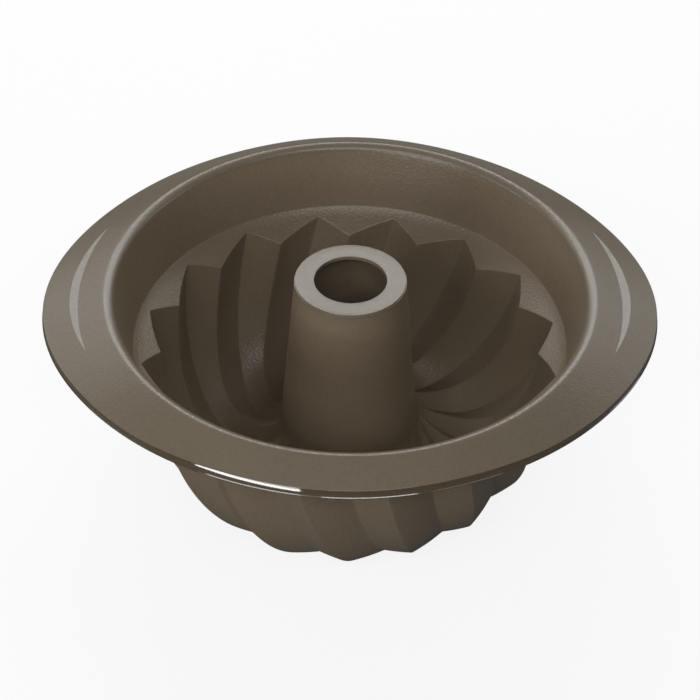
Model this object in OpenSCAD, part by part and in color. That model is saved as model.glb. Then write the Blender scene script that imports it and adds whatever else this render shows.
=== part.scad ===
/* [Mouth and collar] */
// Inner radius of the mouth
mouth_radius = 109; // [90:0.5:130]
// Height of the lip's top above the table
mouth_height = 110; // [100:0.5:140]
// Radius of the rounding on the lip
lip_round = 3; // [1.5:0.1:5]
// How far the collar wall leans inward down to the shoulder
collar_lean = 6.6; // [2:0.1:12]
// Depth of the shoulder's outer edge below the lip's top
collar_depth = 31.8; // [20:0.1:40]

/* [Silicone] */
// Thickness of the collar, shoulder, flutes and tube
wall = 2; // [1.2:0.1:3]
// Thickness of the sloping rim
rim_thickness = 2.6; // [1.5:0.1:4]

/* [Flutes] */
// Number of flutes round the mould
flute_count = 16; // [8:1:24]
// Radial depth of a flute from groove to ridge
flute_depth = 9.1; // [4:0.1:14]
// Width of shoulder left outside the star's points
tip_margin = 3.7; // [2:0.1:8]
// Drop from the shoulder's outer edge to the star's points
tip_drop = 3.4; // [3:0.1:8]
// Slope of the shoulder below the horizontal
shoulder_slope = 34.5; // [15:0.1:45]
// How much higher the trough's floor is at a groove than at a ridge
groove_rise = 5.2; // [2:0.1:8]
// Angle from a groove to the next ridge at the star
ridge_lead = 8.9; // [4:0.1:11]
// Angle by which that lead grows down to the tube
ridge_lead_growth = 5.2; // [0:0.1:8]
// Swirl of the flutes from the star to the bottom of the trough
wall_swirl = 20.1; // [0:0.1:30]
// Swirl of the flutes from the star to the tube
full_swirl = 53.6; // [0:0.1:60]
// Turn of the first groove from the right-hand grip
first_groove = 0; // [0:0.1:22.5]
// Depth of the flat landings cut under the ridges
landing_depth = 0.5; // [0.2:0.1:1]

/* [Centre tube] */
// Radius of the hole in the top of the tube
hole_radius = 16.9; // [10:0.1:22]
// Width of the flat ring round the hole
ring_width = 9.3; // [5:0.1:14]
// Thickness of that ring
ring_thickness = 2; // [1.2:0.1:4]
// Bevel on the ring's outer edge
ring_bevel = 0.5; // [0.3:0.1:1.2]
// Height of the tube's top above the lip's top
tube_rise = 3.7; // [-5:0.1:12]
// Widening of the tube's radius from under its ring down to its foot
tube_spread = 6.4; // [2:0.1:12]
// Height of the top of the tube's flared foot above the table
foot_height = 33; // [20:0.5:50]

/* [Rim] */
// Width from the mouth to the rim's edge at each grip
grip_reach = 33.9; // [28:0.1:45]
// Width from the mouth to the rim's edge at the front and the back
front_reach = 19.2; // [17:0.1:26]
// Drop from the lip's top to the rim's edge at each grip
grip_drop = 10.4; // [6:0.1:16]
// Drop from the lip's top to the rim's edge at the front and the back
front_drop = 7.6; // [4:0.1:12]
// Height of the glossy band round the rim's edge
band_height = 3.4; // [3:0.1:6]
// Width of that band seen from above
band_width = 3; // [2:0.1:3.5]
// Height of the fine lip along the band's lower edge
edge_lip_height = 0.8; // [0.4:0.1:1.2]
// How far that fine lip stands out
edge_lip_reach = 0.4; // [0.2:0.1:1]

/* [Thumb steps] */
// Distance from the rim's edge at a grip in to the inner edge of its crescent step
step_inset = 16.6; // [14:0.1:20]
// Greatest width of a crescent step
step_width = 3.7; // [1:0.1:5]
// Angle from the grip's middle to either end of its crescent step
step_half_angle = 22.5; // [10:0.5:35]

/* [Hidden] */
silicone = [0.43, 0.40, 0.35];
silicone_light = [0.60, 0.57, 0.53];
silicone_dark = [0.31, 0.28, 0.24];
$fn = 128;

// Heights and radii that follow from the sizes above
collar_angle = atan(collar_lean / (collar_depth - lip_round));
rim_angle = atan((front_drop + grip_drop) / (front_reach + grip_reach));
lip_centre = [mouth_radius + lip_round, mouth_height - lip_round];
collar_top = lip_centre + lip_round * [-cos(collar_angle), sin(collar_angle)];
ledge = [mouth_radius - collar_lean, mouth_height - collar_depth];
tip_radius = ledge.x - tip_margin;
tip_height = ledge.y - tip_drop;
groove_radius = tip_radius - flute_depth;
groove_height = tip_height - flute_depth * tan(shoulder_slope);
tube_height = mouth_height + tube_rise;
ring_base = tube_height - ring_thickness;
tube_top_radius = hole_radius + ring_width;
foot_radius = tube_top_radius + tube_spread;
lip_outer = lip_centre + lip_round * [sin(rim_angle), cos(rim_angle)];

// Shape of the trough: where it is deepest, and how full its curves are
trough_share = 0.433;
ridge_fullness_share = 1.05;
groove_fullness_share = 0.93;
trough_radius = foot_radius + trough_share * (tip_radius - foot_radius);
ridge_floor = wall - landing_depth;
groove_floor = ridge_floor + groove_rise;

// Angles of the profile points, down the wall and then up to the tube
upper_angles = [0, 12, 24, 36];
lower_angles = [48, 60, 72];
floor_angles = [0, 12, 24];
slope_angles = [38, 52];
foot_angles = [64, 77, 90];
wall_angles = concat(upper_angles, lower_angles);
rising_angles = concat(floor_angles, slope_angles, foot_angles);

// Points round a flute: columns from groove to ridge and from ridge to groove
lead_columns = 3;
trail_columns = 3;
flute_columns = lead_columns + trail_columns;
columns = flute_count * flute_columns;
flute_pitch = 360 / flute_count;

// Point of a ridge or a groove on the wall, from the star at 0 to the bottom at 90 degrees
function wall_point(top, low, fullness, a) = [
    low.x + (top.x - low.x) * pow(cos(a), fullness),
    top.y + (low.y - top.y) * pow(sin(a), fullness)
];

// Point of a ridge or a groove beyond the bottom, up to the tube at 90 degrees
function foot_point(low, a) = [
    low.x + (foot_radius - low.x) * sin(a),
    low.y + (foot_height - low.y) * (1 - cos(a))
];

ridge_top = [tip_radius, tip_height];
ridge_low = [trough_radius, ridge_floor];
groove_top = [groove_radius, groove_height];
groove_low = [trough_radius, groove_floor];

// Surface height of the shoulder at a radius: a cone with a soft root at its outer edge
function shoulder_height(r) =
    let (beyond = max(0, r - tip_radius) / tip_margin)
    tip_height + (r - tip_radius) * tan(shoulder_slope)
        + (tip_drop - tip_margin * tan(shoulder_slope)) * beyond * beyond;

// Offset of a profile corner to the outside of the mould
function turn_right(d) = [-d.y, d.x] / norm(d);
function outside(before, here, after, thickness) =
    let (n0 = turn_right(here - before), n1 = turn_right(after - here))
    here + thickness * (n0 + n1) / (1 + n0 * n1);

// Inner profile of a column from the shoulder to the tube, and its outside
function profile(top, low, fullness) = concat(
    [for (a = wall_angles) wall_point(top, low, fullness, a)],
    [for (a = rising_angles) foot_point(low, a)]
);
function outer_profile(inner, before, after) = [
    for (i = [0 : len(inner) - 1])
        outside(
            i == 0 ? before : inner[i - 1],
            inner[i],
            i == len(inner) - 1 ? after : inner[i + 1],
            wall
        )
];
tube_top = [tube_top_radius, ring_base];
ridge_inside = profile(ridge_top, ridge_low, ridge_fullness_share);
groove_inside = profile(groove_top, groove_low, groove_fullness_share);
ridge_outside = outer_profile(ridge_inside, ledge, tube_top);
groove_outside = outer_profile(groove_inside, ridge_top, tube_top);

// Travel along the profile: 0 at the star, 1 at the bottom, 2 at the tube
travel = concat([for (a = wall_angles) a / 90], [for (a = rising_angles) 1 + a / 90]);
lower_start = len(upper_angles) - 1;
floor_start = lower_start + len(lower_angles);
slope_start = floor_start + len(floor_angles);
foot_start = slope_start + len(slope_angles);
last_station = foot_start + len(foot_angles);

// Swirl and lead of the flutes at a travel
function swirl(t) = (2 * wall_swirl - full_swirl / 2) * t + (full_swirl / 2 - wall_swirl) * t * t;
function lead(t) = ridge_lead + ridge_lead_growth * t * t / 4;

function lift(p, angle) = [p.x * cos(angle), p.x * sin(angle), p.y];
function between(a, b, share) = a + (b - a) * share;

// Place of a column in its flute: share of the way, and its angle
function column_share(c) =
    let (j = c % flute_columns)
    j < lead_columns ? j / lead_columns : 1 - (j - lead_columns) / trail_columns;
function column_angle(c, t) =
    let (j = c % flute_columns, start = first_groove + floor(c / flute_columns) * flute_pitch + swirl(t))
    j < lead_columns
        ? start + lead(t) * j / lead_columns
        : start + between(lead(t), flute_pitch, (j - lead_columns) / trail_columns);

// Ring of points round the mould at one station of the profile
function flute_ring(groove, ridge, station) = [
    for (c = [0 : columns - 1])
        lift(between(groove[station], ridge[station], column_share(c)), column_angle(c, travel[station]))
];

// Closed body of a list of rings, each joined to the next and the last to the first
module ring_body(rings) {
    n = len(rings[0]);
    m = len(rings);
    points = [for (ring = rings) each ring];
    faces = [
        for (i = [0 : m - 1], j = [0 : n - 1])
            let (
                a = i * n + j,
                b = i * n + (j + 1) % n,
                c = (i + 1) % m * n + (j + 1) % n,
                d = (i + 1) % m * n + j
            )
            each [[a, c, b], [a, d, c]]
    ];
    polyhedron(points = points, faces = faces, convexity = 10);
}

// Wall between two stations: inner rings going in, outer rings coming back
module fluted_body(from, to) {
    ring_body(concat(
        [for (i = [from : to]) flute_ring(groove_inside, ridge_inside, i)],
        [for (i = [from : to]) flute_ring(groove_outside, ridge_outside, to + from - i)]
    ));
}

// Flat landings: the ridges are cut level with the table
module above_table() {
    reach = mouth_radius + grip_reach;
    difference() {
        children();
        translate([-reach, -reach, -wall])
            cube([reach * 2, reach * 2, wall]);
    }
}

// Outer edge of the rim at an angle from the right-hand grip
outline_shares = [0.363, 0.479, 0.123, 0.021, 0.014];
function outline_share(a) =
    outline_shares[0] + outline_shares[1] * cos(2 * a) + outline_shares[2] * cos(4 * a)
        + outline_shares[3] * cos(6 * a) + outline_shares[4] * cos(8 * a);
function edge_radius(a) = mouth_radius + between(front_reach, grip_reach, outline_share(a));
function edge_height(a) = mouth_height - between(front_drop, grip_drop, cos(a) * cos(a));
function band_radius(a) = edge_radius(a) - band_width;

// Angle to the nearer grip's middle
function off_grip(a) = abs((a + 90) % 180 - 90);
function step_reach(a) = step_width * max(0, 1 - pow(off_grip(a) / step_half_angle, 2));
step_radius = mouth_radius + grip_reach - step_inset;

// Top surface of the rim: a slope that the crescent step interrupts
function rim_slope(a) =
    (lip_outer.y - edge_height(a)) / (edge_radius(a) - lip_outer.x - step_reach(a));
function rim_top(a, r) =
    let (flat = max(0, min(r - step_radius, step_reach(a))))
    lip_outer.y - rim_slope(a) * (r - lip_outer.x - flat);

// Border between the rim and the grips, drawn out to the band at each grip's ends
grip_columns = 16;
rim_columns = 96;
rim_step = 360 / rim_columns;
grip_half_angle = grip_columns * rim_step;
function grip_ramp(a) =
    let (t = max(0, min(1, (off_grip(a) - step_half_angle) / (grip_half_angle - step_half_angle))))
    t * t * (3 - 2 * t);
root_share = (step_radius - lip_outer.x) / (band_radius(step_half_angle) - lip_outer.x);
function grip_root(a) =
    off_grip(a) <= step_half_angle
        ? step_radius
        : between(lip_outer.x, band_radius(a), between(root_share, 1, grip_ramp(a)));

function rim_point(a, r, drop) = lift([r, rim_top(a, r) - drop], a);

// Closed body along an arc, pointed at both ends, from an inner to an outer radius
module crescent_body(angles, inner, outer, depth) {
    n = len(angles) - 2;
    mids = [for (i = [1 : n]) i];
    rings = [
        for (i = mids)
            each [
                rim_point(angles[i], inner[i], 0),
                rim_point(angles[i], outer[i], 0),
                rim_point(angles[i], outer[i], depth),
                rim_point(angles[i], inner[i], depth)
            ]
    ];
    ends = [
        rim_point(angles[0], inner[0], 0),
        rim_point(angles[0], inner[0], depth),
        rim_point(angles[n + 1], inner[n + 1], 0),
        rim_point(angles[n + 1], inner[n + 1], depth)
    ];
    first_end = 4 * n;
    last_ring = 4 * (n - 1);
    sides = [
        for (i = [0 : n - 2], j = [0 : 3])
            let (a = 4 * i + j, b = 4 * i + (j + 1) % 4, c = b + 4, d = a + 4)
            each [[a, c, b], [a, d, c]]
    ];
    start = [
        for (face = [[0, 1, 4], [2, 3, 5], [3, 4, 5], [3, 0, 4], [1, 5, 4], [1, 2, 5]])
            [for (corner = face) corner < 4 ? corner : first_end + corner - 4]
    ];
    finish = [
        for (face = [[0, 4, 1], [2, 5, 3], [3, 5, 4], [3, 4, 0], [1, 4, 5], [1, 5, 2]])
            [for (corner = face) corner < 4 ? last_ring + corner : first_end + corner - 2]
    ];
    polyhedron(points = concat(rings, ends), faces = concat(sides, start, finish), convexity = 10);
}

function arc_angles(middle, half_steps) = [for (i = [-half_steps : half_steps]) middle + i * rim_step];

module grip(middle) {
    angles = arc_angles(middle, grip_columns);
    crescent_body(
        angles,
        [for (a = angles) grip_root(a) + step_reach(a)],
        [for (a = angles) band_radius(a)],
        rim_thickness
    );
}

module thumb_step(middle) {
    steps = floor(step_half_angle / rim_step);
    angles = arc_angles(middle, steps);
    crescent_body(
        angles,
        [for (a = angles) step_radius],
        [for (a = angles) step_radius + step_reach(a)],
        rim_thickness
    );
}

module tube_top_ring() {
    color(silicone_light)
        rotate_extrude()
            polygon([
                [hole_radius, ring_base],
                [tube_top_radius, ring_base],
                [tube_top_radius, tube_height - ring_bevel],
                [tube_top_radius - ring_bevel, tube_height],
                [hole_radius, tube_height]
            ]);
}

module centre_tube() {
    foot_outside = ridge_outside[last_station];
    color(silicone)
        rotate_extrude()
            polygon([
                [foot_radius, foot_height],
                [tube_top_radius, ring_base],
                [tube_top_radius + foot_outside.x - foot_radius, ring_base],
                foot_outside
            ]);
}

module tube_foot() {
    color(silicone_dark)
        fluted_body(foot_start, last_station);
}

module trough_inner_slope() {
    color(silicone)
        fluted_body(slope_start, foot_start);
}

module trough_floor() {
    color(silicone_dark)
        above_table()
            fluted_body(floor_start, slope_start);
}

module lower_flutes() {
    color(silicone)
        fluted_body(lower_start, floor_start);
}

module upper_flutes() {
    color(silicone_dark)
        fluted_body(0, lower_start);
}

module shoulder() {
    outer_edge = outside(collar_top, ledge, ridge_top, wall);
    star = flute_ring(groove_inside, ridge_inside, 0);
    star_outside = flute_ring(groove_outside, ridge_outside, 0);
    angles = [for (c = [0 : columns - 1]) column_angle(c, 0)];
    radii = [for (c = [0 : columns - 1]) between(groove_radius, tip_radius, column_share(c))];
    middle = [
        for (c = [0 : columns - 1])
            let (r = (ledge.x + radii[c]) / 2)
            lift([r, shoulder_height(r)], angles[c])
    ];
    color(silicone_light)
        ring_body([
            [for (a = angles) lift(ledge, a)],
            middle,
            star,
            star_outside,
            [for (a = angles) lift(outer_edge, a)]
        ]);
}

module collar_wall() {
    lower = outside(collar_top, ledge, ridge_top, wall);
    upper = collar_top + wall * turn_right(ledge - collar_top);
    color(silicone)
        rotate_extrude()
            polygon([collar_top, ledge, lower, upper]);
}

module mouth_lip() {
    lip_steps = 12;
    arc = [
        for (i = [0 : lip_steps])
            let (a = between(180 - collar_angle, 90 - rim_angle, i / lip_steps))
            lip_centre + lip_round * [cos(a), sin(a)]
    ];
    color(silicone_light)
        rotate_extrude()
            polygon(concat(
                arc,
                [[lip_outer.x, lip_outer.y - rim_thickness]],
                [collar_top + wall * turn_right(ledge - collar_top)]
            ));
}

module rim_flange() {
    angles = [for (i = [0 : rim_columns - 1]) i * rim_step];
    color(silicone)
        ring_body([
            [for (a = angles) lift([lip_outer.x, lip_outer.y], a)],
            [for (a = angles) lift([lip_outer.x, lip_outer.y - rim_thickness], a)],
            [for (a = angles) rim_point(a, grip_root(a), rim_thickness)],
            [for (a = angles) rim_point(a, grip_root(a), 0)]
        ]);
}

module left_grip() {
    color(silicone)
        grip(180);
}

module right_grip() {
    color(silicone)
        grip(0);
}

module left_thumb_step() {
    color(silicone_light)
        thumb_step(180);
}

module right_thumb_step() {
    color(silicone_light)
        thumb_step(0);
}

module rim_edge_band() {
    angles = [for (i = [0 : rim_columns - 1]) i * rim_step];
    lip_top = band_height - edge_lip_height;
    color(silicone_dark)
        ring_body([
            [for (a = angles) rim_point(a, band_radius(a), 0)],
            [for (a = angles) rim_point(a, band_radius(a), band_height)],
            [for (a = angles) lift([edge_radius(a) + edge_lip_reach, edge_height(a) - band_height], a)],
            [for (a = angles) lift([edge_radius(a) + edge_lip_reach, edge_height(a) - lip_top], a)],
            [for (a = angles) lift([edge_radius(a), edge_height(a) - lip_top], a)],
            [for (a = angles) lift([edge_radius(a), edge_height(a)], a)]
        ]);
}

tube_top_ring();
centre_tube();
tube_foot();
trough_inner_slope();
trough_floor();
lower_flutes();
upper_flutes();
shoulder();
collar_wall();
mouth_lip();
rim_flange();
left_grip();
right_grip();
left_thumb_step();
right_thumb_step();
rim_edge_band();
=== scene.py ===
import math

import bmesh
import bpy
from mathutils import Matrix, Vector
from mathutils.kdtree import KDTree


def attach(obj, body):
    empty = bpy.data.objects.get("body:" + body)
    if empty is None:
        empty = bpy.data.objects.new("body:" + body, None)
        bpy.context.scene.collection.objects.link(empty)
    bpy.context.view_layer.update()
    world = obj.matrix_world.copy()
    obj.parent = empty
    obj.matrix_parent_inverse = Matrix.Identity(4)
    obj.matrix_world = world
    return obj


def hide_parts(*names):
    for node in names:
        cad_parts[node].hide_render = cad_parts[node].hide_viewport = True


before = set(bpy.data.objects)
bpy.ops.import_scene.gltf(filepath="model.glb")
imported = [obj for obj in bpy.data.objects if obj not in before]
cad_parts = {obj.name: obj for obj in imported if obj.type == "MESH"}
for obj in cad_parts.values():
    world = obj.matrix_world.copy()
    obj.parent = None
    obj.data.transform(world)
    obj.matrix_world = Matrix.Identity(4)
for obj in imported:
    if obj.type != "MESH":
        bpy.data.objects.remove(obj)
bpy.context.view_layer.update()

# Sizes of the mould, in millimetres and degrees
MM = 0.001
MOUTH_RADIUS = 109.0
MOUTH_HEIGHT = 110.0
LIP_ROUND = 4.0
COLLAR_LEAN = 6.6
COLLAR_DEPTH = 31.8
WALL = 2.0
RIM_THICKNESS = 2.6
FLUTE_COUNT = 16
FLUTE_DEPTH = 9.1
TIP_MARGIN = 3.7
TIP_DROP = 3.4
SHOULDER_SLOPE = 34.5
GROOVE_RISE = 5.2
RIDGE_LEAD = 8.9
RIDGE_LEAD_GROWTH = 5.2
WALL_SWIRL = 20.1
FULL_SWIRL = 53.6
LANDING_DEPTH = 0.5
HOLE_RADIUS = 16.9
RING_WIDTH = 9.3
RING_THICKNESS = 2.0
TUBE_RISE = 3.7
TUBE_SPREAD = 6.4
FOOT_HEIGHT = 33.0
GRIP_REACH = 33.9
FRONT_REACH = 19.2
GRIP_DROP = 10.4
FRONT_DROP = 7.6
BAND_HEIGHT = 3.4
BAND_WIDTH = 3.0
EDGE_LIP_HEIGHT = 0.8
EDGE_LIP_REACH = 0.4
STEP_INSET = 16.6
STEP_WIDTH = 3.7
STEP_HALF_ANGLE = 22.5
STEP_FRONT_ANGLE = 18.5
STEP_HAIR = 0.05
GRIP_HALF_ANGLE = 60.0
OUTLINE_SHARES = (0.363, 0.479, 0.123, 0.021, 0.014)
TROUGH_SHARE = 0.433
RIDGE_FULLNESS = 1.05
GROOVE_FULLNESS = 0.93

# Soft edges that the moulding tool leaves, in millimetres
RIDGE_SOFT = 0.5
GROOVE_SOFT = 0.7
STAR_SOFT = 0.4
LEDGE_SOFT = 0.4
STEP_SOFT = 0.3
RING_STEP_HEIGHT = 0.8
RING_STEP_WIDTH = 0.4
RING_SOFT = 0.2
UNDERSIDE_SOFT = 0.8
HOLE_SOFT = 0.2
FACET_RUN = 0.8
FACET_RISE = 1.2
FACET_SOFT = 0.12
FACET_LEAST = 0.15
FACET_GROWTH = (45.0, 68.0)
EDGE_LIP_FALL = 0.34
EDGE_LIP_SOFT = 0.1

# Steps of the meshes
WALL_PARTS = ((36, 12), (72, 12), (90, 7))
RISE_PARTS = ((24, 9), (52, 9), (90, 12))
LEAD_COLUMNS = 5
TRAIL_COLUMNS = 8
CORNER_STEPS = 4
STAR_STEPS = 6
LEDGE_STEPS = 8
SHOULDER_STEPS = 6
COLLAR_STEPS = 10
TUBE_STEPS = 16
LIP_STEPS = 16
FLANGE_STEPS = 8
GRIP_STEPS = 5
CRESCENT_STEPS = 3
BORDER_STEPS = 2
NEAR_STAR = 0.98
NEAR_LEDGE = 0.1
MERGE = 0.001
SEAM_REACH = 0.000005

# Slots of the record
BODY = "silicone_body"
INSIDE = "silicone_inside"
EDGE = "silicone_edge"

# Finishes
CLOUD_SCALE = 22.0
CLOUD_DETAIL = 3.0
CLOUD_SHARE = 0.3
SPECK_SCALE = 700.0
SPECK_DETAIL = 2.0
PEBBLE_SCALE = 900.0
RIPPLE_SCALE = 60.0
BUMP_DETAIL = 1.0
RIPPLE_DEPTH = 0.00004
TONE_SPREAD = 0.2
SATIN_SPREAD = 0.12
TAUPE = (0.158, 0.13, 0.093)
# The inside's tone, lighter and warmer than the body's: painted warmth of light bounced round the
# bowl
PAINTED_BOUNCE_TAUPE = (0.183, 0.143, 0.098)
# The glossy edge band's tone, far darker than the body's: painted shade on the band
PAINTED_SHADE_EDGE_TAUPE = (0.085, 0.062, 0.038)

# Sockets of a Mix node that blends colours
MIX_SHARE = 0
MIX_FIRST = 6
MIX_SECOND = 7
MIX_RESULT = 2

# Floor, studio and camera, in metres
FLOOR_SIZE = 6.0
FLOOR_ROUGHNESS = 0.9
FLOOR_GREY = (0.16, 0.16, 0.16, 1.0)
FLOOR_WHITE = (0.95, 0.95, 0.95, 1.0)
SHADOW_SHARE = 0.15
WORLD_LIGHT = 0.03
MOULD_MIDDLE = Vector((0, 0, 0.08))
LAMP_DISTANCE = 1.6
CAMERA_PLACE = Vector((0.00018, -0.78613, 0.75956))
CAMERA_TILT = 0.7197745
CAMERA_ROLL = 0.01361528
CAMERA_SWING = -0.80
CAMERA_LENS = 113.143
CAMERA_SENSOR = 36.0
CAMERA_NEAR = 0.05

# Heights and radii that follow from the sizes
COLLAR_ANGLE = math.degrees(math.atan(COLLAR_LEAN / (COLLAR_DEPTH - LIP_ROUND)))
RIM_ANGLE = math.degrees(math.atan((FRONT_DROP + GRIP_DROP) / (FRONT_REACH + GRIP_REACH)))
LEDGE_RADIUS = MOUTH_RADIUS - COLLAR_LEAN
LEDGE_HEIGHT = MOUTH_HEIGHT - COLLAR_DEPTH
TIP_RADIUS = LEDGE_RADIUS - TIP_MARGIN
TIP_HEIGHT = LEDGE_HEIGHT - TIP_DROP
SLOPE = math.tan(math.radians(SHOULDER_SLOPE))
GROOVE_RADIUS = TIP_RADIUS - FLUTE_DEPTH
GROOVE_HEIGHT = TIP_HEIGHT - FLUTE_DEPTH * SLOPE
TUBE_HEIGHT = MOUTH_HEIGHT + TUBE_RISE
RING_BASE = TUBE_HEIGHT - RING_THICKNESS
TUBE_TOP_RADIUS = HOLE_RADIUS + RING_WIDTH
FOOT_RADIUS = TUBE_TOP_RADIUS + TUBE_SPREAD
TROUGH_RADIUS = FOOT_RADIUS + TROUGH_SHARE * (TIP_RADIUS - FOOT_RADIUS)
RIDGE_FLOOR = WALL - LANDING_DEPTH
GROOVE_FLOOR = RIDGE_FLOOR + GROOVE_RISE
STEP_RADIUS = MOUTH_RADIUS + GRIP_REACH - STEP_INSET
PITCH = 360.0 / FLUTE_COUNT


def between(a, b, share):
    return a + (b - a) * share


def spread(start, end, count):
    """Evenly spaced values from start to end, both included"""
    return [between(start, end, k / count) for k in range(count + 1)]


def eased(value, start, end):
    """0 up to the start, 1 from the end on, and a smooth rise from one to the other"""
    ramp = max(0.0, min(1.0, (value - start) / (end - start)))
    return ramp * ramp * (3 - 2 * ramp)


def polar(radius, angle, height):
    turn = math.radians(angle)
    return Vector((radius * math.cos(turn), radius * math.sin(turn), height))


def curl(before, corner, after, share):
    """Point on the soft curve that replaces a corner"""
    return (
        before * (1 - share) ** 2
        + corner * (2 * share * (1 - share))
        + after * share ** 2
    )


def propped(points, reach):
    """A path with extra points near its ends, so that the shading turns only there"""
    first = points[0] + (points[1] - points[0]).normalized() * reach
    last = points[-1] + (points[-2] - points[-1]).normalized() * reach
    return [points[0], first] + points[1:-1] + [last, points[-1]]


def softened(points, reaches):
    """A path whose inner corners are rounded, each from its own reach before and after it"""
    path = [points[0]]
    for before, corner, after, reach in zip(points, points[1:], points[2:], reaches):
        if reach:
            start = corner + (before - corner).normalized() * reach
            end = corner + (after - corner).normalized() * reach
            path += [curl(start, corner, end, share) for share in spread(0, 1, CORNER_STEPS)]
        else:
            path.append(corner)
    path.append(points[-1])
    return path


LIP_CENTRE = Vector((MOUTH_RADIUS + LIP_ROUND, MOUTH_HEIGHT - LIP_ROUND))


def on_lip(angle):
    turn = math.radians(angle)
    return LIP_CENTRE + LIP_ROUND * Vector((math.cos(turn), math.sin(turn)))


LIP_OUTER = on_lip(90 - RIM_ANGLE)
COLLAR_TOP = on_lip(180 - COLLAR_ANGLE)
LEDGE = Vector((LEDGE_RADIUS, LEDGE_HEIGHT))


def miter(before, here, after):
    """The point of the outer face that lies over a point of the inner one"""
    first = (here - before).normalized()
    second = (after - here).normalized()
    normals = Vector((-first.y, first.x)) + Vector((-second.y, second.x))
    return here + normals * (WALL * 2 / normals.length_squared)


# Section of the flutes: a ridge line and a groove line, from the star to the centre tube
def quarter_turn(parts):
    """Shares of a quarter turn, each part with its end in degrees and its number of steps"""
    turns = [0.0]
    for end, steps in parts:
        turns += spread(turns[-1], end, steps)[1:]
    return [turn / 90 for turn in turns]


DOWN = quarter_turn(WALL_PARTS)
UP = quarter_turn(RISE_PARTS)
TRAVEL = DOWN + [1 + share for share in UP[1:]]
LOWER_START = WALL_PARTS[0][1]
FLOOR_START = LOWER_START + WALL_PARTS[1][1]
SLOPE_START = len(DOWN) - 1 + RISE_PARTS[0][1]
FOOT_START = SLOPE_START + RISE_PARTS[1][1]
LAST_STATION = len(TRAVEL) - 1


def flute_line(top, low, fullness, travel):
    """Point of a ridge or a groove: travel 0 at the star, 1 at the bottom, 2 at the tube"""
    if travel <= 1:
        turn = math.radians(90 * travel)
        across = max(0.0, math.cos(turn)) ** fullness
        down = math.sin(turn) ** fullness
        return Vector((between(low.x, top.x, across), between(top.y, low.y, down)))
    turn = math.radians(90 * (travel - 1))
    return Vector((
        between(low.x, FOOT_RADIUS, math.sin(turn)),
        between(low.y, FOOT_HEIGHT, 1 - math.cos(turn)),
    ))


def line_pair(top, low, fullness, before):
    """The inner and outer points of a ridge or a groove at every station"""
    inner = [flute_line(top, low, fullness, t) for t in TRAVEL]
    framed = [before] + inner + [Vector((TUBE_TOP_RADIUS, RING_BASE))]
    outer = [miter(*framed[k:k + 3]) for k in range(len(inner))]
    return inner, outer


RIDGE_TOP = Vector((TIP_RADIUS, TIP_HEIGHT))
GROOVE_TOP = Vector((GROOVE_RADIUS, GROOVE_HEIGHT))
RIDGE_LINES = line_pair(RIDGE_TOP, Vector((TROUGH_RADIUS, RIDGE_FLOOR)), RIDGE_FULLNESS, LEDGE)
GROOVE_LINES = line_pair(
    GROOVE_TOP, Vector((TROUGH_RADIUS, GROOVE_FLOOR)), GROOVE_FULLNESS, RIDGE_TOP
)

# Columns round a flute: close together on its groove and its ridge, wider on its flats
FLUTE_COLUMNS = (
    [("groove", share) for share in (0.0, 0.5, 1.0)]
    + [("lead", k / LEAD_COLUMNS) for k in range(1, LEAD_COLUMNS)]
    + [("ridge", share) for share in (-1.0, -0.5, 0.0, 0.5, 1.0)]
    + [("trail", k / TRAIL_COLUMNS) for k in range(1, TRAIL_COLUMNS)]
    + [("next groove", share) for share in (-1.0, -0.5)]
)
COLUMNS = FLUTE_COUNT * len(FLUTE_COLUMNS)


def swirl(travel):
    """Angle by which a flute has turned round the mould on its way down"""
    first = 2 * WALL_SWIRL - FULL_SWIRL / 2
    second = FULL_SWIRL / 2 - WALL_SWIRL
    return first * travel + second * travel ** 2


def tooth(offset, lead, groove_soft, ridge_soft):
    """Height of the saw tooth at an angle from its groove: 0 in the groove, 1 on the ridge"""
    rise = 1 / lead
    fall = 1 / (PITCH - lead)
    if offset > PITCH - groove_soft:
        offset -= PITCH
    if offset < groove_soft:
        along = offset + groove_soft
        return fall * (groove_soft - along) + (rise + fall) * along ** 2 / (4 * groove_soft)
    if abs(offset - lead) < ridge_soft:
        along = offset - lead + ridge_soft
        bend = (rise + fall) * along ** 2 / (4 * ridge_soft)
        return 1 + rise * (along - ridge_soft) - bend
    if offset < lead:
        return offset * rise
    return (PITCH - offset) * fall


def column_place(column, station):
    """Angle round the mould and height of tooth of a column at a station"""
    flute, place = divmod(column % COLUMNS, len(FLUTE_COLUMNS))
    zone, share = FLUTE_COLUMNS[place]
    travel = TRAVEL[station]
    radius = RIDGE_LINES[0][station].x
    lead = RIDGE_LEAD + RIDGE_LEAD_GROWTH * (travel / 2) ** 2
    groove_soft = math.degrees(GROOVE_SOFT / radius)
    ridge_soft = math.degrees(RIDGE_SOFT / radius)
    offsets = {
        "groove": share * groove_soft,
        "lead": between(groove_soft, lead - ridge_soft, share),
        "ridge": lead + share * ridge_soft,
        "trail": between(lead + ridge_soft, PITCH - groove_soft, share),
        "next groove": PITCH + share * groove_soft,
    }
    offset = offsets[zone]
    angle = flute * PITCH + offset + swirl(travel)
    return angle, tooth(offset, lead, groove_soft, ridge_soft)


def flute_point(column, station, side):
    """Point of the fluted wall: side 0 is the trough's, side 1 is the outside"""
    angle, height = column_place(column, station)
    place = GROOVE_LINES[side][station].lerp(RIDGE_LINES[side][station], height)
    return polar(place.x, angle, place.y)


def star_angle(column):
    return column_place(column, 0)[0]


def tube_angle(column):
    return column_place(column, LAST_STATION)[0]


def flute_run(column, start, end, side):
    return [flute_point(column, station, side) for station in range(start, end + 1)]


def shoulder_height(radius):
    beyond = max(0.0, radius - TIP_RADIUS) / TIP_MARGIN
    straight = TIP_HEIGHT + (radius - TIP_RADIUS) * SLOPE
    return straight + (TIP_DROP - TIP_MARGIN * SLOPE) * beyond ** 2


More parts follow.
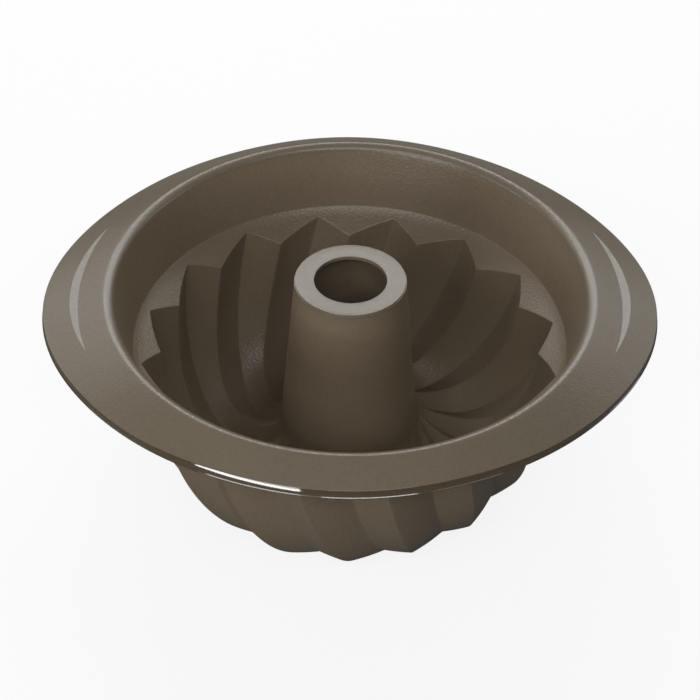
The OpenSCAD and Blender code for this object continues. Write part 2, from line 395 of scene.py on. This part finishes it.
def shoulder_point(column, share):
    """Point of the shoulder's top: share 0 on the ledge, share 1 on the star"""
    angle, height = column_place(column, 0)
    radius = between(LEDGE_RADIUS, between(GROOVE_RADIUS, TIP_RADIUS, height), share)
    return polar(radius, angle, shoulder_height(radius))


def star_edge(column):
    """The soft edge between the shoulder and the fluted wall"""
    corner = flute_point(column, 0, 0)
    on_shoulder = shoulder_point(column, NEAR_STAR) - corner
    on_wall = flute_point(column, 1, 0) - corner
    before = corner + on_shoulder.normalized() * STAR_SOFT
    after = corner + on_wall.normalized() * STAR_SOFT
    return [curl(before, corner, after, share) for share in spread(0, 1, STAR_STEPS)]


def ledge_root(column):
    """The soft root between the collar wall and the shoulder"""
    angle = star_angle(column)
    corner = polar(LEDGE.x, angle, LEDGE.y)
    on_collar = polar(COLLAR_TOP.x, angle, COLLAR_TOP.y) - corner
    on_shoulder = shoulder_point(column, NEAR_LEDGE) - corner
    before = corner + on_collar.normalized() * LEDGE_SOFT
    after = corner + on_shoulder.normalized() * LEDGE_SOFT
    return [curl(before, corner, after, share) for share in spread(0, 1, LEDGE_STEPS)]


COLLAR_LOW = miter(COLLAR_TOP, LEDGE, RIDGE_TOP)
COLLAR_HIGH = miter(2 * COLLAR_TOP - LEDGE, COLLAR_TOP, LEDGE)


def outline_share(angle):
    """How far the rim reaches at an angle: 0 as at the front, 1 as at a grip"""
    return sum(
        share * math.cos(math.radians(2 * k * angle)) for k, share in enumerate(OUTLINE_SHARES)
    )


def edge_radius(angle):
    return MOUTH_RADIUS + between(FRONT_REACH, GRIP_REACH, outline_share(angle))


def edge_height(angle):
    return MOUTH_HEIGHT - between(FRONT_DROP, GRIP_DROP, math.cos(math.radians(angle)) ** 2)


def band_radius(angle):
    return edge_radius(angle) - BAND_WIDTH


def off_grip(angle):
    """Angle from the middle of the nearer grip"""
    return abs((angle + 90) % 180 - 90)


def step_reach(angle):
    """Width of a crescent, whose front tip thins out to a hair"""
    half = STEP_FRONT_ANGLE if math.sin(math.radians(angle)) < 0 else STEP_HALF_ANGLE
    moon = STEP_WIDTH * (1 - (off_grip(angle) / half) ** 2)
    hair = STEP_HAIR * (1 - (off_grip(angle) / STEP_HALF_ANGLE) ** 2)
    return max(0.0, moon, hair)


def step_soft(angle):
    """Width of the rows beside a crescent, which thin out with it"""
    return max(MERGE, min(STEP_SOFT, step_reach(angle)))


def rim_slope(angle):
    run = edge_radius(angle) - LIP_OUTER.x - step_reach(angle)
    return (LIP_OUTER.y - edge_height(angle)) / run


def rim_point(angle, radius, drop=0.0):
    """Point of the rim's top, or of what lies a drop under it"""
    flat = max(0.0, min(radius - STEP_RADIUS, step_reach(angle)))
    height = LIP_OUTER.y - rim_slope(angle) * (radius - LIP_OUTER.x - flat)
    return polar(radius, angle, height - drop)


ROOT_SHARE = (STEP_RADIUS - LIP_OUTER.x) / (band_radius(STEP_HALF_ANGLE) - LIP_OUTER.x)


def grip_root(angle):
    """Radius at which the flange ends and a grip starts"""
    off = off_grip(angle)
    if off <= STEP_HALF_ANGLE:
        return STEP_RADIUS
    share = between(ROOT_SHARE, 1, eased(off, STEP_HALF_ANGLE, GRIP_HALF_ANGLE))
    return between(LIP_OUTER.x, band_radius(angle), share)


# Sections of the pieces at a column. Where one path ends and the next starts, the piece
# meets its neighbour.
def ring_section(column):
    angle = tube_angle(column)
    back = RIDGE_LINES[1][LAST_STATION].x - FOOT_RADIUS
    corners = [
        (TUBE_TOP_RADIUS, RING_BASE),
        (TUBE_TOP_RADIUS, TUBE_HEIGHT - RING_STEP_HEIGHT),
        (TUBE_TOP_RADIUS - RING_STEP_WIDTH, TUBE_HEIGHT - RING_STEP_HEIGHT),
        (TUBE_TOP_RADIUS - RING_STEP_WIDTH, TUBE_HEIGHT),
        (HOLE_RADIUS, TUBE_HEIGHT),
        (HOLE_RADIUS, RING_BASE),
        (TUBE_TOP_RADIUS + back, RING_BASE),
    ]
    soft = (RING_SOFT, RING_SOFT / 2, RING_SOFT, HOLE_SOFT, HOLE_SOFT)
    return [softened([polar(r, angle, z) for r, z in corners], soft)]


def tube_section(column):
    angle = tube_angle(column)
    back = RIDGE_LINES[1][LAST_STATION]
    front = [
        polar(between(FOOT_RADIUS, TUBE_TOP_RADIUS, s), angle, between(FOOT_HEIGHT, RING_BASE, s))
        for s in spread(0, 1, TUBE_STEPS)
    ]
    back_top = TUBE_TOP_RADIUS + back.x - FOOT_RADIUS
    hollow = [
        polar(between(back_top, back.x, s), angle, between(RING_BASE, back.y, s))
        for s in spread(0, 1, TUBE_STEPS)
    ]
    return [front, propped(hollow, UNDERSIDE_SOFT)]


def fluted_section(start, end):
    """The section of a piece of the fluted wall, from one station to another"""
    def section(column):
        front = flute_run(column, start, end, 0)
        back = flute_run(column, start, end, 1)
        if start == 0:
            front = star_edge(column)[STAR_STEPS // 2:] + front[1:]
        return [front, back[::-1]]
    return section


def shoulder_section(column):
    angle = star_angle(column)
    root = ledge_root(column)[LEDGE_STEPS // 2:]
    edge = star_edge(column)[:STAR_STEPS // 2 + 1]
    run = [root[-1].lerp(edge[0], share) for share in spread(0, 1, SHOULDER_STEPS)[1:-1]]
    for point in run:
        point.z = shoulder_height(math.hypot(point.x, point.y))
    low = polar(COLLAR_LOW.x, angle, COLLAR_LOW.y)
    return [root + run + edge, [flute_point(column, 0, 1), low]]


def collar_section(column):
    angle = star_angle(column)
    top = polar(COLLAR_TOP.x, angle, COLLAR_TOP.y)
    root = ledge_root(column)[:LEDGE_STEPS // 2 + 1]
    run = [top.lerp(root[0], share) for share in spread(0, 1, COLLAR_STEPS)[:-1]]
    back = [
        polar(COLLAR_LOW.x, angle, COLLAR_LOW.y),
        polar(COLLAR_HIGH.x, angle, COLLAR_HIGH.y),
    ]
    return [run + root, propped(back, UNDERSIDE_SOFT)]


def lip_section(column):
    angle = star_angle(column)
    bend = [on_lip(a) for a in spread(90 - RIM_ANGLE, 180 - COLLAR_ANGLE, LIP_STEPS)]
    under = propped(
        [COLLAR_HIGH, Vector((LIP_OUTER.x, LIP_OUTER.y - RIM_THICKNESS))], UNDERSIDE_SOFT
    )
    return [
        [polar(point.x, angle, point.y) for point in bend],
        [polar(point.x, angle, point.y) for point in under],
    ]


def rim_run(angle, start, end, soft_start, soft_end, count, drop=0.0):
    """A run across the rim, with close rows beside an edge that shows"""
    quarter = (end - start) / 4
    radii = spread(start + min(soft_start, quarter), end - min(soft_end, quarter), count)
    if soft_start:
        radii = [start] + radii
    if soft_end:
        radii = radii + [end]
    return [rim_point(angle, radius, drop) for radius in radii]


def flange_section(column):
    angle = star_angle(column)
    root = grip_root(angle)
    soft = step_soft(angle)
    top = rim_run(angle, LIP_OUTER.x, root, 0.0, soft, FLANGE_STEPS)
    under = rim_run(angle, LIP_OUTER.x, root, 0.0, soft, FLANGE_STEPS, RIM_THICKNESS)
    return [top, under[::-1]]


def grip_section(column):
    angle = star_angle(column)
    start = grip_root(angle) + step_reach(angle)
    soft = step_soft(angle)
    end = band_radius(angle)
    top = rim_run(angle, start, end, soft, 0.0, GRIP_STEPS)
    under = rim_run(angle, start, end, soft, 0.0, GRIP_STEPS, RIM_THICKNESS)
    return [top, under[::-1]]


def step_section(column):
    angle = star_angle(column)
    end = STEP_RADIUS + step_reach(angle)
    top = rim_run(angle, STEP_RADIUS, end, STEP_SOFT, STEP_SOFT, CRESCENT_STEPS)
    under = rim_run(angle, STEP_RADIUS, end, STEP_SOFT, STEP_SOFT, CRESCENT_STEPS, RIM_THICKNESS)
    return [top, under[::-1]]


def facet_share(angle):
    """Size of the glossy facet, which narrows towards the grips"""
    return between(FACET_LEAST, 1, eased(off_grip(angle), *FACET_GROWTH))


def gloss_radius(angle):
    """Radius at which the satin border ends and the glossy edge starts"""
    return edge_radius(angle) - FACET_RUN * facet_share(angle) - FACET_SOFT


def border_section(column):
    angle = star_angle(column)
    run = spread(band_radius(angle), gloss_radius(angle), BORDER_STEPS)
    top = [rim_point(angle, radius) for radius in run]
    under = [rim_point(angle, radius, BAND_HEIGHT) for radius in run[::BORDER_STEPS]]
    return [top, under[::-1]]


def band_section(column):
    angle = star_angle(column)
    edge = edge_radius(angle)
    height = edge_height(angle)
    inner = gloss_radius(angle)
    facet = facet_share(angle)
    lip_top = height - BAND_HEIGHT + EDGE_LIP_HEIGHT
    corners = [
        rim_point(angle, inner),
        rim_point(angle, edge - FACET_RUN * facet),
        polar(edge, angle, height - FACET_RISE * facet),
        polar(edge, angle, lip_top),
        polar(edge + EDGE_LIP_REACH, angle, lip_top - EDGE_LIP_FALL),
        polar(edge + EDGE_LIP_REACH, angle, height - BAND_HEIGHT),
        rim_point(angle, inner, BAND_HEIGHT),
    ]
    soft = (FACET_SOFT, FACET_SOFT, EDGE_LIP_SOFT, EDGE_LIP_SOFT, EDGE_LIP_SOFT)
    return [softened(corners, soft)]


def lathe(name, section, node, slot, first=0, count=COLUMNS, landings=False):
    """A piece turned round the tube's axis from one section, each column then put in its place"""
    closed = count == COLUMNS
    sweep = math.tau if closed else math.pi / 2
    paths = section(first)
    bm = bmesh.new()
    row = bm.verts.layers.int.new("row")
    verts = []
    for point in [point for path in paths for point in path]:
        vert = bm.verts.new((math.hypot(point.x, point.y), 0, point.z))
        vert[row] = len(verts)
        verts.append(vert)
    edges = [bm.edges.new(pair) for pair in zip(verts, verts[1:] + verts[:1])]
    seams = set()
    last = -1
    for path in paths:
        last += len(path)
        seams.add(frozenset((last, (last + 1) % len(verts))))
    bmesh.ops.spin(
        bm, geom=verts + edges, cent=(0, 0, 0), axis=(0, 0, 1), dvec=(0, 0, 0),
        angle=sweep, steps=count, use_merge=closed, use_normal_flip=False, use_duplicate=False,
    )
    for face in bm.faces:
        face.smooth = frozenset(vert[row] for vert in face.verts) not in seams
    sections = {}
    for vert in bm.verts:
        column = round(math.atan2(vert.co.y, vert.co.x) / sweep * count)
        if closed:
            column %= count
        if column not in sections:
            sections[column] = [point for path in section(first + column) for point in path]
        vert.co = sections[column][vert[row]]
    bmesh.ops.remove_doubles(bm, verts=bm.verts, dist=MERGE)
    if landings:
        cut_landings(bm)
    return finished(name, bm, node, slot)


def cut_landings(bm):
    """The ridges end level with the table"""
    cut = bmesh.ops.bisect_plane(
        bm, geom=bm.verts[:] + bm.edges[:] + bm.faces[:], dist=MERGE,
        plane_co=(0, 0, 0), plane_no=(0, 0, -1), clear_outer=True,
    )
    rims = [item for item in cut["geom_cut"] if isinstance(item, bmesh.types.BMEdge)]
    for face in bmesh.ops.holes_fill(bm, edges=rims)["faces"]:
        face.smooth = False


def finished(name, bm, node, slot):
    """The mesh in metres, facing outwards, as a piece that stands for its CAD node"""
    bmesh.ops.scale(bm, vec=(MM, MM, MM), verts=bm.verts)
    bmesh.ops.recalc_face_normals(bm, faces=bm.faces)
    if bm.calc_volume(signed=True) < 0:
        bmesh.ops.reverse_faces(bm, faces=bm.faces)
    for edge in bm.edges:
        edge.smooth = len({face.smooth for face in edge.link_faces}) == 1
    mesh = bpy.data.meshes.new(name)
    bm.to_mesh(mesh)
    bm.free()
    piece = bpy.data.objects.new(name, mesh)
    bpy.context.scene.collection.objects.link(piece)
    mesh.materials.append(FINISHES[slot])
    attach(piece, "root")
    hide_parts(node)
    return piece


def share_shading(pieces):
    """Where two regions of the moulding meet, their faces shade as one surface"""
    corners = {}
    shades = {}
    for piece in pieces:
        mesh = piece.data
        shades[piece] = [Vector(corner.vector) for corner in mesh.corner_normals]
        flat = {v for face in mesh.polygons if not face.use_smooth for v in face.vertices}
        for face in mesh.polygons:
            if face.use_smooth:
                for loop in face.loop_indices:
                    index = mesh.loops[loop].vertex_index
                    if index in flat:
                        corners.setdefault((piece, index), []).append(loop)
    tree = KDTree(len(corners))
    keys = list(corners)
    normals = []
    for number, (piece, index) in enumerate(keys):
        tree.insert(piece.data.vertices[index].co, number)
        normals.append(shades[piece][corners[piece, index][0]].copy())
    tree.balance()
    for number, (piece, index) in enumerate(keys):
        place = piece.data.vertices[index].co
        near = [found[1] for found in tree.find_range(place, SEAM_REACH)]
        alike = [normals[k] for k in near if normals[k].dot(normals[number]) > 0]
        shared = sum(alike, Vector()).normalized()
        for loop in corners[piece, index]:
            shades[piece][loop] = shared
    for piece in pieces:
        piece.data.normals_split_custom_set(shades[piece])


class Wire:
    """A node's output that can be used in plain arithmetic"""

    def __init__(self, finish, socket):
        self.finish = finish
        self.socket = socket

    def maths(self, operation, first, second):
        values = {0: first, 1: second}
        return self.finish.add("ShaderNodeMath", {"operation": operation}, values)

    def __add__(self, other):
        return self.maths("ADD", self, other)

    def __radd__(self, other):
        return self.maths("ADD", other, self)

    def __sub__(self, other):
        return self.maths("SUBTRACT", self, other)

    def __rsub__(self, other):
        return self.maths("SUBTRACT", other, self)

    def __mul__(self, other):
        return self.maths("MULTIPLY", self, other)

    def __rmul__(self, other):
        return self.maths("MULTIPLY", other, self)


class Finish:
    """A procedural finish: its material and the nodes in it"""

    def __init__(self, name):
        self.material = bpy.data.materials.new(name)
        self.material.use_nodes = True
        self.nodes = self.material.node_tree.nodes
        self.links = self.material.node_tree.links
        self.shader = self.nodes["Principled BSDF"]
        self.output = self.nodes["Material Output"]

    def feed(self, socket, value):
        if isinstance(value, Wire):
            self.links.new(value.socket, socket)
        else:
            socket.default_value = value

    def add(self, kind, settings, values, output=0):
        node = self.nodes.new(kind)
        for key, value in settings.items():
            setattr(node, key, value)
        for key, value in values.items():
            self.feed(node.inputs[key], value)
        return Wire(self, node.outputs[output])

    def blend(self, share, first, second):
        """A colour between two colours"""
        settings = {"data_type": "RGBA", "blend_type": "MIX"}
        values = {MIX_SHARE: share, MIX_FIRST: first, MIX_SECOND: second}
        return self.add("ShaderNodeMix", settings, values, MIX_RESULT)

    def noise(self, place, scale, detail):
        values = {"Vector": place, "Scale": scale, "Detail": detail}
        return self.add("ShaderNodeTexNoise", {}, values)


def shade(colour, share):
    """A colour made darker or lighter"""
    return tuple(part * share for part in colour) + (1.0,)


def silicone(name, tone, satin, index, pebble_depth):
    """Silicone rubber: faintly cloudy, with the fine pebbled skin that the tool gives it"""
    finish = Finish(name)
    place = finish.add("ShaderNodeTexCoord", {}, {}, "Object")
    cloud = finish.noise(place, CLOUD_SCALE, CLOUD_DETAIL)
    speck = finish.noise(place, SPECK_SCALE, SPECK_DETAIL)
    dull = shade(tone, 1 - TONE_SPREAD)
    fresh = shade(tone, 1 + TONE_SPREAD)
    mottle = cloud * CLOUD_SHARE + speck * (1 - CLOUD_SHARE)
    tint = finish.blend(mottle, dull, fresh)
    finish.feed(finish.shader.inputs["Base Color"], tint)
    finish.feed(finish.shader.inputs["Roughness"], satin * (1 + (cloud - 0.5) * SATIN_SPREAD))
    pebble = finish.noise(place, PEBBLE_SCALE, BUMP_DETAIL)
    ripple = finish.noise(place, RIPPLE_SCALE, BUMP_DETAIL)
    height = pebble * pebble_depth + ripple * RIPPLE_DEPTH
    bump = finish.add("ShaderNodeBump", {}, {"Strength": 1.0, "Distance": 1.0, "Height": height})
    finish.feed(finish.shader.inputs["Normal"], bump)
    finish.shader.inputs["IOR"].default_value = index
    return finish.material


FINISHES = {
    BODY: silicone(
        "satin_silicone", TAUPE, satin=0.3, index=1.5, pebble_depth=0.0001,
    ),
    # The inside's lighter, warmer tone is painted bounced light, the same silicone made warmer
    INSIDE: silicone(
        "baking_side_silicone_painted_bounce", PAINTED_BOUNCE_TAUPE, satin=0.34, index=1.5, pebble_depth=0.0002,
    ),
    # The edge's darker tone is painted shade, the same silicone made darker
    EDGE: silicone(
        "glossy_edge_silicone_painted_shade", PAINTED_SHADE_EDGE_TAUPE, satin=0.06, index=1.8, pebble_depth=0.000001,
    ),
}

# Pieces
LEFT_MIDDLE = COLUMNS // 2


def arc(middle, half_angle):
    """First column and number of steps of an arc that reaches an angle to both sides"""
    first = middle
    while off_grip(star_angle(first)) < half_angle:
        first -= 1
    last = middle
    while off_grip(star_angle(last)) < half_angle:
        last += 1
    return {"first": first, "count": last - first}


pieces = [
    lathe("moulded_tube_ring", ring_section, "tube_top_ring", BODY),
    lathe("moulded_tube", tube_section, "centre_tube", INSIDE),
    lathe("moulded_tube_foot", fluted_section(FOOT_START, LAST_STATION), "tube_foot", INSIDE),
    lathe(
        "moulded_inner_slope", fluted_section(SLOPE_START, FOOT_START),
        "trough_inner_slope", INSIDE,
    ),
    lathe(
        "moulded_trough_floor", fluted_section(FLOOR_START, SLOPE_START),
        "trough_floor", INSIDE, landings=True,
    ),
    lathe(
        "moulded_lower_flutes", fluted_section(LOWER_START, FLOOR_START),
        "lower_flutes", INSIDE,
    ),
    lathe("moulded_upper_flutes", fluted_section(0, LOWER_START), "upper_flutes", INSIDE),
    lathe("moulded_star_shoulder", shoulder_section, "shoulder", INSIDE),
    lathe("moulded_collar", collar_section, "collar_wall", INSIDE),
    lathe("rolled_mouth_lip", lip_section, "mouth_lip", BODY),
    lathe("sloping_rim", flange_section, "rim_flange", BODY),
    lathe("right_wing", grip_section, "right_grip", BODY, **arc(0, GRIP_HALF_ANGLE)),
    lathe("left_wing", grip_section, "left_grip", BODY, **arc(LEFT_MIDDLE, GRIP_HALF_ANGLE)),
    lathe("right_crescent", step_section, "right_thumb_step", BODY, **arc(0, STEP_HALF_ANGLE)),
    lathe(
        "left_crescent", step_section, "left_thumb_step", BODY,
        **arc(LEFT_MIDDLE, STEP_HALF_ANGLE),
    ),
    lathe("rim_border", border_section, "rim_edge_band", BODY),
    lathe("glossy_edge", band_section, "rim_edge_band", EDGE),
]
share_shading(pieces)


def studio_floor():
    """A pale floor that shows white, with a trace of the object's shadow"""
    bm = bmesh.new()
    bmesh.ops.create_grid(bm, x_segments=1, y_segments=1, size=FLOOR_SIZE / 2)
    mesh = bpy.data.meshes.new("studio_floor")
    bm.to_mesh(mesh)
    bm.free()
    floor = bpy.data.objects.new("studio_floor", mesh)
    bpy.context.scene.collection.objects.link(floor)
    finish = Finish("pale_floor")
    finish.shader.inputs["Roughness"].default_value = FLOOR_ROUGHNESS
    white = finish.add("ShaderNodeEmission", {}, {"Color": (1, 1, 1, 1), "Strength": 1.0})
    seen = finish.add("ShaderNodeLightPath", {}, {}, "Is Camera Ray")
    finish.feed(finish.shader.inputs["Base Color"], finish.blend(seen, FLOOR_GREY, FLOOR_WHITE))
    painted = Wire(finish, finish.shader.outputs[0])
    share = seen * (1 - SHADOW_SHARE)
    mixed = finish.add("ShaderNodeMixShader", {}, {0: share, 1: painted, 2: white})
    finish.feed(finish.output.inputs["Surface"], mixed)
    mesh.materials.append(finish.material)


def studio_world():
    """Even light from all round, which the camera sees as white"""
    world = bpy.data.worlds.new("studio")
    bpy.context.scene.world = world
    world.use_nodes = True
    nodes = world.node_tree.nodes
    links = world.node_tree.links
    paths = nodes.new("ShaderNodeLightPath")
    mix = nodes.new("ShaderNodeMix")
    mix.inputs["A"].default_value = WORLD_LIGHT
    mix.inputs["B"].default_value = 1.0
    links.new(paths.outputs["Is Camera Ray"], mix.inputs["Factor"])
    links.new(mix.outputs["Result"], nodes["Background"].inputs["Strength"])
    nodes["Background"].inputs["Color"].default_value = (1, 1, 1, 1)


def softbox(name, azimuth, elevation, width, height, power):
    """A soft lamp aimed at the mould: azimuth 0 is the front, 90 the right-hand grip"""
    turn = math.radians(azimuth)
    rise = math.radians(elevation)
    towards = Vector((
        math.sin(turn) * math.cos(rise), -math.cos(turn) * math.cos(rise), math.sin(rise),
    ))
    light = bpy.data.lights.new(name, "AREA")
    light.shape = "RECTANGLE"
    light.size = width
    light.size_y = height
    light.energy = power
    lamp = bpy.data.objects.new(name, light)
    lamp.location = MOULD_MIDDLE + towards * LAMP_DISTANCE
    lamp.rotation_euler = towards.to_track_quat("Z", "Y").to_euler()
    bpy.context.scene.collection.objects.link(lamp)


# Lamps: azimuth and elevation in degrees, width and height in metres, power in watts
studio_floor()
studio_world()
softbox("back_softbox", 180, 42, 1.7, 0.42, 13.4)
softbox("left_back_softbox", -138, 30, 1.1, 0.9, 4.2)
softbox("right_back_softbox", 138, 30, 1.1, 0.9, 3.9)
softbox("key_softbox", -32, 38, 0.95, 0.4, 5.6)
softbox("camera_softbox", 8, 43, 0.8, 0.3, 4.6)
softbox("high_softbox", 0, 58, 1.5, 0.35, 2.6)
softbox("right_front_softbox", 45, 40, 0.5, 0.4, 0.5)
softbox("left_softbox", -80, 16, 0.7, 0.4, 2.2)
softbox("right_softbox", 95, 14, 0.7, 0.4, 1.6)
softbox("low_softbox", -32, 14, 0.8, 0.3, 3.4)
softbox("strip_softbox", -33, 6.3, 0.9, 0.12, 4.0)

# Camera: the photograph was taken from the front, about 41 degrees above the level
camera = bpy.data.cameras.new("camera")
camera.lens = CAMERA_LENS
camera.sensor_width = CAMERA_SENSOR
camera.clip_start = CAMERA_NEAR
viewpoint = bpy.data.objects.new("camera", camera)
swing = Matrix.Rotation(math.radians(CAMERA_SWING), 4, "Z")
tilt = Matrix.Rotation(math.pi / 2 - CAMERA_TILT, 4, "X")
roll = Matrix.Rotation(CAMERA_ROLL, 4, "Z")
viewpoint.matrix_world = swing @ Matrix.Translation(CAMERA_PLACE) @ tilt @ roll
bpy.context.scene.collection.objects.link(viewpoint)
bpy.context.scene.camera = viewpoint
bpy.context.scene.view_settings.view_transform = "Standard"
